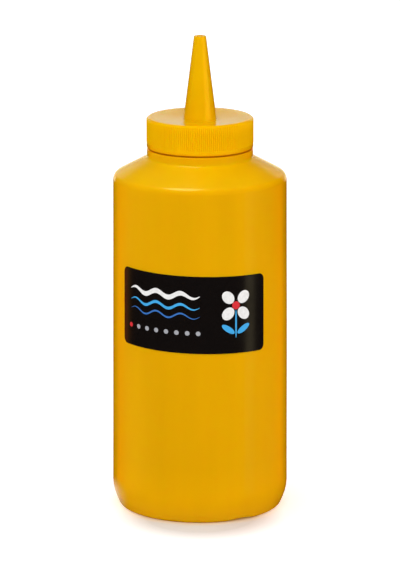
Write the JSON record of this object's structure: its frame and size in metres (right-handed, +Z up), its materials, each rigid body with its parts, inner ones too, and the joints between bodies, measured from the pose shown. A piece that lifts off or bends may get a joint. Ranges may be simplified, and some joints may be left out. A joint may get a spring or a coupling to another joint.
{
  "type": "squeeze bottle",
  "caption": "Round squeeze bottle for mustard or sauce: straight wall, sloped shoulder, ribbed screw cap with a pointed nozzle, and a dark wrapped label.",
  "frame": {"origin": "middle of the foot, on the surface that the bottle stands on", "axes": "+Z up along the bottle's axis to the nozzle, and the label faces -Y"},
  "size_m": [0.0916, 0.0916, 0.2482],
  "materials": {
    "bottle_plastic": "satin blow-moulded polyethylene, mustard yellow",
    "cap_plastic": "semi-gloss injection-moulded plastic, mustard yellow",
    "label_film": "glossy black printed film"
  },
  "bodies": {
    "root": {"bottle": "bottle_plastic", "cap": "cap_plastic", "label": "label_film"}
  },
  "joints": []
}
